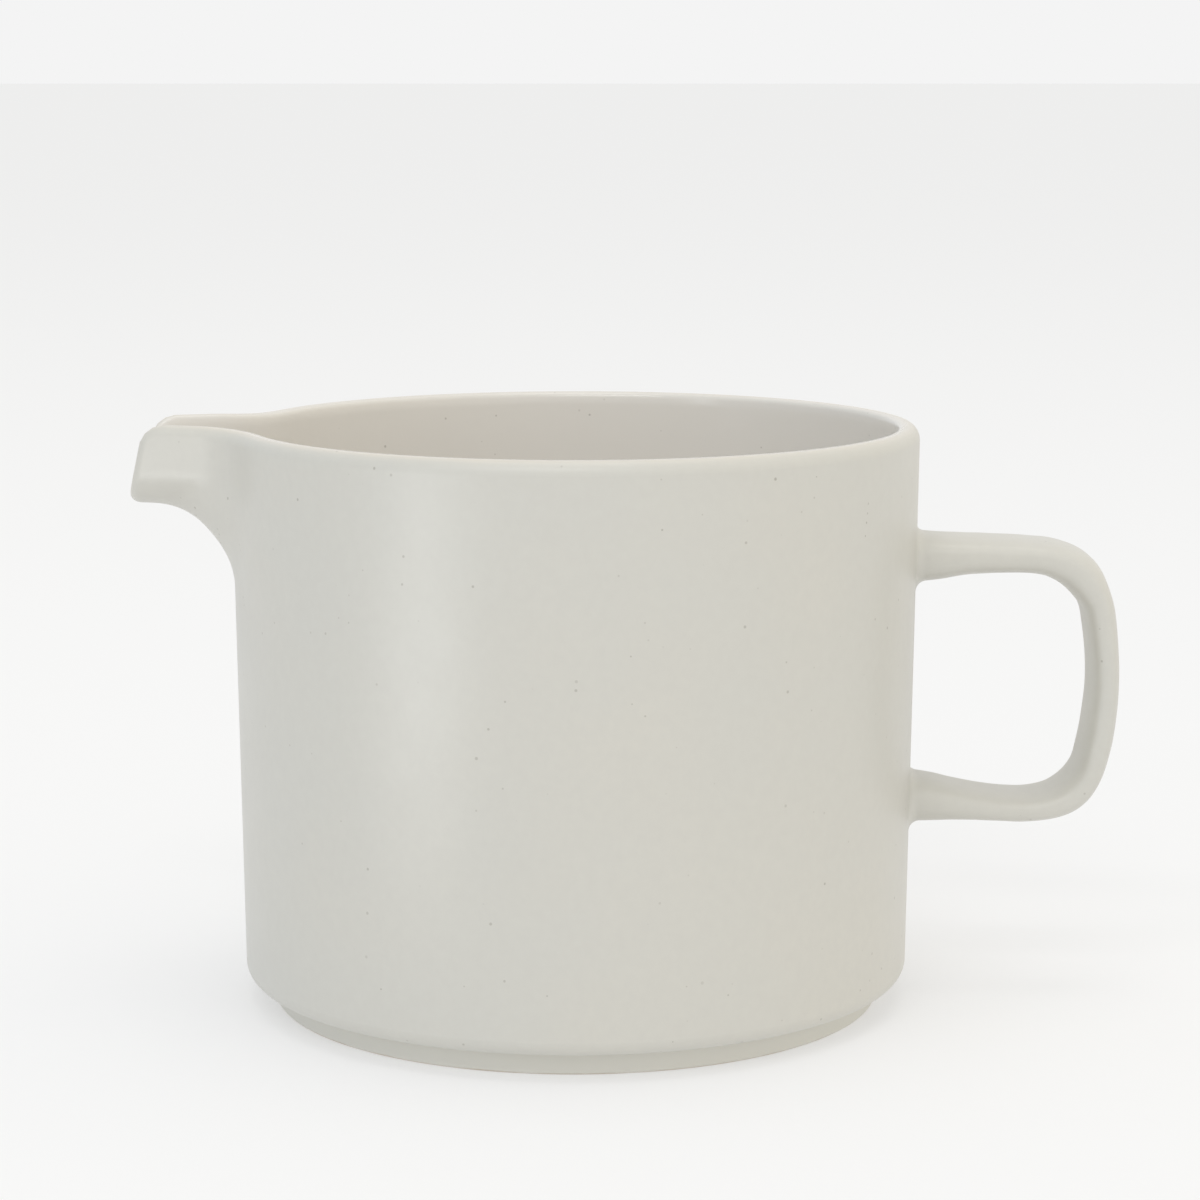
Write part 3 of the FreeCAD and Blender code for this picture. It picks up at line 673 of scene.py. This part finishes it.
# --------------------------------------------------------------------- foot
def turned(name, profile, segments=256):
    """A closed ring from a closed profile of (r, z, nr, nz, smooth) points.
    Where smooth is 0 the faces on both sides keep their own flat normals."""
    m = Mesher()
    count = len(profile)
    ang = 2 * math.pi * np.arange(segments) / segments
    for i in range(segments):
        i2 = (i + 1) % segments
        for j in range(count):
            j2 = (j + 1) % count
            corners, normals = [], []
            for a, b in ((i, j), (i2, j), (i2, j2), (i, j2)):
                r, z, nr, nz = profile[b][:4]
                c, s = math.cos(ang[a]), math.sin(ang[a])
                corners.append(m.vertex((a, b), np.array([r * c, r * s, z]) * MM))
                normals.append(np.array([nr * c, nr * s, nz]))
            flat = profile[j][4] and profile[j2][4]
            if not flat:
                dr, dz = profile[j2][0] - profile[j][0], profile[j2][1] - profile[j][1]
                l = math.hypot(dr, dz)
                nr, nz = dz / l, -dr / l
                normals = [np.array([nr * math.cos(ang[a]), nr * math.sin(ang[a]), nz])
                           for a in (i, i2, i2, i)]
            m.face(corners, normals)
    return m.build(name)


def foot_pieces():
    ht = BASE_H - 0.3
    R, r = FOOT_R, FOOT_R - FOOT_W
    e = 0.7
    ring = []
    for k in range(7):
        a = math.radians(90) * k / 6
        ring.append((R - e + e * math.sin(a), e - e * math.cos(a), math.sin(a), -math.cos(a), 1))
    ring.append((R, ht * 0.6, 1, 0, 1))
    ring.append((R, ht, 1, 0, 0))
    ring.append((r, ht, -1, 0, 0))
    ring.append((r, ht * 0.6, -1, 0, 1))
    for k in range(7):
        a = math.radians(90) * k / 6
        ring.append((r + e - e * math.cos(a), e - e * math.sin(a), -math.cos(a), -math.sin(a), 1))
    # both faces straight next to the joint stay smooth
    ring[8] = (R, ht, 1, 0, 0)
    ring[9] = (r, ht, -1, 0, 0)
    foot = turned("foot", ring)

    f = 0.75
    bead = []
    for k in range(7):
        a = math.radians(90) * k / 6
        bead.append((R + f - f * math.cos(a), BASE_H - f + f * math.sin(a),
                     math.cos(a), -math.sin(a), 1 if 0 < k < 6 else 1))
    for k in range(7):
        a = math.radians(90) * (1 - k / 6)
        bead.append((r - f + f * math.cos(a), BASE_H - f + f * math.sin(a),
                     -math.cos(a), -math.sin(a), 1))
    bead.append((r, ht, 0, 0, 0))
    bead.append((R, ht, 0, 0, 0))
    # the bead's top lies on the base, its underside on the ring
    joint = turned("foot_joint", bead)
    return foot, joint


# ----------------------------------------------------------------- material
def new_material(name):
    mat = bpy.data.materials.new(name)
    mat.use_nodes = True
    nt = mat.node_tree
    nt.nodes.clear()
    out = nt.nodes.new("ShaderNodeOutputMaterial")
    bsdf = nt.nodes.new("ShaderNodeBsdfPrincipled")
    nt.links.new(bsdf.outputs["BSDF"], out.inputs["Surface"])
    return mat, nt, bsdf


def node(nt, kind, **values):
    n = nt.nodes.new(kind)
    for key, value in values.items():
        if key in n.inputs:
            n.inputs[key].default_value = value
        else:
            setattr(n, key, value)
    return n


def mix_colour(nt, factor, a, b, blend="MIX"):
    n = nt.nodes.new("ShaderNodeMix")
    n.data_type = "RGBA"
    n.blend_type = blend
    for socket, value in ((n.inputs["Factor"], factor), (n.inputs[6], a), (n.inputs[7], b)):
        if hasattr(value, "is_output") or isinstance(value, bpy.types.NodeSocket):
            nt.links.new(value, socket)
        else:
            socket.default_value = value
    return n.outputs[2]


def maths(nt, operation, a, b=None, clamp=False):
    n = nt.nodes.new("ShaderNodeMath")
    n.operation = operation
    n.use_clamp = clamp
    for k, value in enumerate((a, b)):
        if value is None:
            continue
        if isinstance(value, bpy.types.NodeSocket):
            nt.links.new(value, n.inputs[k])
        else:
            n.inputs[k].default_value = value
    return n.outputs[0]


def spread(nt, value, lo, hi, a=0.0, b=1.0):
    n = nt.nodes.new("ShaderNodeMapRange")
    n.inputs["From Min"].default_value = lo
    n.inputs["From Max"].default_value = hi
    n.inputs["To Min"].default_value = a
    n.inputs["To Max"].default_value = b
    nt.links.new(value, n.inputs["Value"])
    return n.outputs["Result"]


GLAZE = (0.618, 0.611, 0.565, 1.0)
# inside colour: partly the liner glaze's own colour, partly painted light, set lighter than the outside
# glaze to lift the shade inside the vessel
INSIDE_GLAZE_AND_PAINTED_LIGHT = (0.765, 0.738, 0.690, 1.0)
GLAZE_WARM = (0.700, 0.650, 0.560, 1.0)
SPECK = (0.22, 0.19, 0.15, 1.0)


def glaze_material():
    mat, nt, bsdf = new_material("stoneware_glaze")
    coords = nt.nodes.new("ShaderNodeTexCoord").outputs["Object"]

    def noise(scale, detail=3.0, rough=0.55):
        n = node(nt, "ShaderNodeTexNoise", Scale=scale, Detail=detail, Roughness=rough)
        nt.links.new(coords, n.inputs["Vector"])
        return n.outputs["Fac"]

    # slow clouding and fine mottling of the glaze
    cloud = spread(nt, noise(26.0, 2.0), 0.3, 0.7)
    mottle = spread(nt, noise(520.0, 3.0, 0.6), 0.3, 0.7)
    base = mix_colour(nt, maths(nt, "MULTIPLY", cloud, 0.5), GLAZE, (0.645, 0.622, 0.558, 1.0))
    base = mix_colour(nt, maths(nt, "MULTIPLY", mottle, 0.45), base, (0.595, 0.582, 0.537, 1.0))

    inside = node(nt, "ShaderNodeAttribute", attribute_name="inside").outputs["Fac"]
    # the inside is painted lighter than the outside glaze: partly liner glaze, partly painted light
    # against the shade inside
    base = mix_colour(nt, inside, base, INSIDE_GLAZE_AND_PAINTED_LIGHT)

    # thin glaze on rims and lips shows the warmer clay
    edge = node(nt, "ShaderNodeAttribute", attribute_name="edge").outputs["Fac"]
    worn = maths(nt, "MULTIPLY", edge, spread(nt, noise(140.0, 2.0), 0.25, 0.75, 0.35, 0.85))
    base = mix_colour(nt, worn, base, GLAZE_WARM)

    # iron specks: one in a few cells has a small dark dot
    def specks(scale, share, size):
        v = node(nt, "ShaderNodeTexVoronoi", Scale=scale)
        nt.links.new(coords, v.inputs["Vector"])
        pick = nt.nodes.new("ShaderNodeSeparateColor")
        nt.links.new(v.outputs["Color"], pick.inputs["Color"])
        chosen = maths(nt, "LESS_THAN", pick.outputs["Red"], share)
        reach = spread(nt, pick.outputs["Green"], 0.0, 1.0, size * 0.45, size)
        inner = maths(nt, "SUBTRACT", reach, v.outputs["Distance"])
        dot = spread(nt, inner, 0.0, size * 0.35)
        strength = maths(nt, "MULTIPLY", dot, spread(nt, pick.outputs["Blue"], 0, 1, 0.35, 1.0))
        return maths(nt, "MULTIPLY", chosen, strength, True)

    fine = specks(420.0, 0.26, 0.15)
    coarse = specks(260.0, 0.08, 0.065)
    dots = maths(nt, "MAXIMUM", maths(nt, "MULTIPLY", fine, 0.5), maths(nt, "MULTIPLY", coarse, 0.32))
    base = mix_colour(nt, dots, base, SPECK)
    nt.links.new(base, bsdf.inputs["Base Color"])

    # satin outside, glossier inside
    rough_out = spread(nt, noise(90.0, 3.0), 0.3, 0.7, 0.34, 0.40)
    rough_in = spread(nt, noise(90.0, 3.0), 0.3, 0.7, 0.14, 0.20)
    rough = nt.nodes.new("ShaderNodeMix")
    rough.data_type = "FLOAT"
    nt.links.new(inside, rough.inputs["Factor"])
    nt.links.new(rough_out, rough.inputs[2])
    nt.links.new(rough_in, rough.inputs[3])
    nt.links.new(rough.outputs[0], bsdf.inputs["Roughness"])
    bsdf.inputs["IOR"].default_value = 1.55

    # orange-peel of the glaze, and pits at the specks
    peel = noise(900.0, 2.0)
    wave = noise(120.0, 2.0)
    height = maths(nt, "ADD", maths(nt, "MULTIPLY", peel, 0.000010), maths(nt, "MULTIPLY", wave, 0.00006))
    height = maths(nt, "SUBTRACT", height, maths(nt, "MULTIPLY", dots, 0.00003))
    bump = node(nt, "ShaderNodeBump", Strength=1.0, Distance=1.0)
    nt.links.new(height, bump.inputs["Height"])
    nt.links.new(bump.outputs["Normal"], bsdf.inputs["Normal"])
    return mat


def clay_material():
    """Glazed ring whose standing face is bare, slightly gritty clay. Its glazed part is painted lighter
    than the body's glaze: painted light that lifts the shade on the foot under the base.
    """
    mat, nt, bsdf = new_material("foot_bare_clay")
    coords = nt.nodes.new("ShaderNodeTexCoord").outputs["Object"]
    split = nt.nodes.new("ShaderNodeSeparateXYZ")
    nt.links.new(coords, split.inputs[0])
    grain = node(nt, "ShaderNodeTexNoise", Scale=1500.0, Detail=4.0, Roughness=0.7)
    nt.links.new(coords, grain.inputs["Vector"])
    wander = node(nt, "ShaderNodeTexNoise", Scale=160.0, Detail=2.0)
    nt.links.new(coords, wander.inputs["Vector"])
    level = maths(nt, "ADD", split.outputs["Z"], maths(nt, "MULTIPLY", wander.outputs["Fac"], 0.0006))
    bare = spread(nt, level, 0.00062, 0.00045)
    clay = mix_colour(nt, grain.outputs["Fac"], (0.50, 0.44, 0.36, 1), (0.62, 0.56, 0.47, 1))
    # painted light: the glazed colour here is lighter than the body's glaze, to lift the shade on the foot
    # ring
    colour = mix_colour(nt, bare, (0.690, 0.678, 0.620, 1.0), clay)
    nt.links.new(colour, bsdf.inputs["Base Color"])
    nt.links.new(spread(nt, bare, 0, 1, 0.45, 0.85), bsdf.inputs["Roughness"])
    height = maths(nt, "MULTIPLY", grain.outputs["Fac"], maths(nt, "MULTIPLY", bare, 0.00006))
    bump = node(nt, "ShaderNodeBump", Strength=1.0, Distance=1.0)
    nt.links.new(height, bump.inputs["Height"])
    nt.links.new(bump.outputs["Normal"], bsdf.inputs["Normal"])
    return mat


# ----------------------------------------------------------------- assemble
glaze = glaze_material()
bare = clay_material()
body, spout, seam = vessel_pieces()
handle, upper, lower = handle_pieces()
foot, foot_joint = foot_pieces()

for piece, cad_node, slot, material in (
        (body, "vessel_body", "body_glaze", glaze),
        (spout, "pouring_spout", "spout_glaze", glaze),
        (seam, "spout_slip_seam", "slip", glaze),
        (handle, "handle", "handle_glaze", glaze),
        (upper, "handle_upper_slip", "slip", glaze),
        (lower, "handle_lower_slip", "slip", glaze),
        (foot, "foot_ring", "foot_clay", bare),
        (foot_joint, "foot_slip", "slip", glaze)):
    piece.data.materials.append(material)
    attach(piece, "root")
    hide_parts(cad_node)

# -------------------------------------------------------------------- stage
def floor_material():
    """Matt white acrylic lit softly from below, so only contact shade shows."""
    mat, nt, bsdf = new_material("white_floor")
    bsdf.inputs["Base Color"].default_value = (0.50, 0.50, 0.50, 1.0)
    bsdf.inputs["Roughness"].default_value = 1.0
    bsdf.inputs["Specular IOR Level"].default_value = 0.0
    bsdf.inputs["Emission Color"].default_value = (1.0, 1.0, 1.0, 1.0)
    bsdf.inputs["Emission Strength"].default_value = 0.42
    return mat


def make_floor():
    mesh = bpy.data.meshes.new("floor")
    mesh.from_pydata([(-60, -60, 0), (60, -60, 0), (60, 60, 0), (-60, 60, 0)], [], [(0, 1, 2, 3)])
    mesh.update()
    ob = bpy.data.objects.new("floor", mesh)
    bpy.context.scene.collection.objects.link(ob)
    mesh.materials.append(floor_material())
    return ob


make_floor()


def softbox(name, azimuth, elevation, distance, wide, high, power, colour, sheen_only=False):
    """A far softbox. azimuth is measured from the camera's side, positive to the right."""
    data = bpy.data.lights.new(name, "AREA")
    data.shape = "RECTANGLE"
    data.size, data.size_y = wide, high
    data.energy = power
    data.color = colour
    ob = bpy.data.objects.new(name, data)
    bpy.context.scene.collection.objects.link(ob)
    az, el = math.radians(azimuth), math.radians(elevation)
    toward = Vector((math.sin(az) * math.cos(el), -math.cos(az) * math.cos(el), math.sin(el)))
    ob.location = toward * distance + Vector((0, 0, 0.06))
    ob.rotation_euler = toward.to_track_quat("Z", "Y").to_euler()
    ob.visible_diffuse = not sheen_only
    return ob


softbox("window", -49, 12, 2.4, 0.24, 1.7, 1.6, (0.95, 0.98, 1.0))
softbox("window_glare", -49, 12, 2.4, 0.24, 1.7, 2.4, (0.95, 0.98, 1.0), True)
softbox("bank", -14, 44, 2.0, 1.1, 0.20, 5.0, (1.0, 1.0, 1.0))
softbox("top", 0, 88, 2.0, 1.0, 1.0, 4.4, (1.0, 0.99, 0.96))


def table_glow():
    """The window's sheen on the table, in front and to the left."""
    data = bpy.data.lights.new("sheen", "AREA")
    data.shape = "RECTANGLE"
    data.size, data.size_y = 0.13, 0.9
    data.energy = 1.2
    data.color = (0.95, 0.98, 1.0)
    ob = bpy.data.objects.new("sheen", data)
    bpy.context.scene.collection.objects.link(ob)
    az = math.radians(-47)
    ob.location = (0.68 * math.sin(az), -0.68 * math.cos(az), 0.002)
    ob.rotation_euler = (math.pi, 0.0, az)
    ob.visible_camera = False
    ob.visible_diffuse = False
    return ob


table_glow()

world = bpy.data.worlds.new("studio")
world.use_nodes = True
nt = world.node_tree
back = nt.nodes["Background"]
back.inputs[1].default_value = 0.905
where = nt.nodes.new("ShaderNodeTexCoord")
split = nt.nodes.new("ShaderNodeSeparateXYZ")
nt.links.new(where.outputs["Generated"], split.inputs[0])
ramp = nt.nodes.new("ShaderNodeValToRGB")
side = spread(nt, split.outputs["X"], -1.0, 1.0)
nt.links.new(side, ramp.inputs["Fac"])
stops = ramp.color_ramp.elements
stops[0].position, stops[0].color = 0.0, (0.61, 0.67, 0.73, 1)
stops[1].position, stops[1].color = 1.0, (1.14, 1.075, 0.93, 1)
for place in (0.38, 0.62):
    stop = stops.new(place)
    stop.color = (1.0, 1.0, 1.0, 1)
nt.links.new(ramp.outputs["Color"], back.inputs[0])
bpy.context.scene.world = world
bpy.context.scene.view_settings.view_transform = "Standard"
bpy.context.scene.view_settings.look = "None"
bpy.context.scene.view_settings.exposure = 0.0
bpy.context.scene.view_settings.gamma = 1.0

# ------------------------------------------------------------------- camera
cam_data = bpy.data.cameras.new("camera")
cam_data.sensor_fit = "HORIZONTAL"
cam_data.sensor_width = 36.0
cam_data.lens = 100.283
cam_data.clip_start = 0.01
cam_data.clip_end = 50.0
cam = bpy.data.objects.new("camera", cam_data)
bpy.context.scene.collection.objects.link(cam)
cam.location = (0.0044835, -0.6074076, 0.1693656)
pitch, roll = 0.15663, 0.0
cam.rotation_mode = "XYZ"
turn = Matrix.Rotation(math.radians(90) - pitch, 4, "X") @ Matrix.Rotation(roll, 4, "Z")
cam.rotation_euler = turn.to_euler("XYZ")
bpy.context.scene.camera = cam
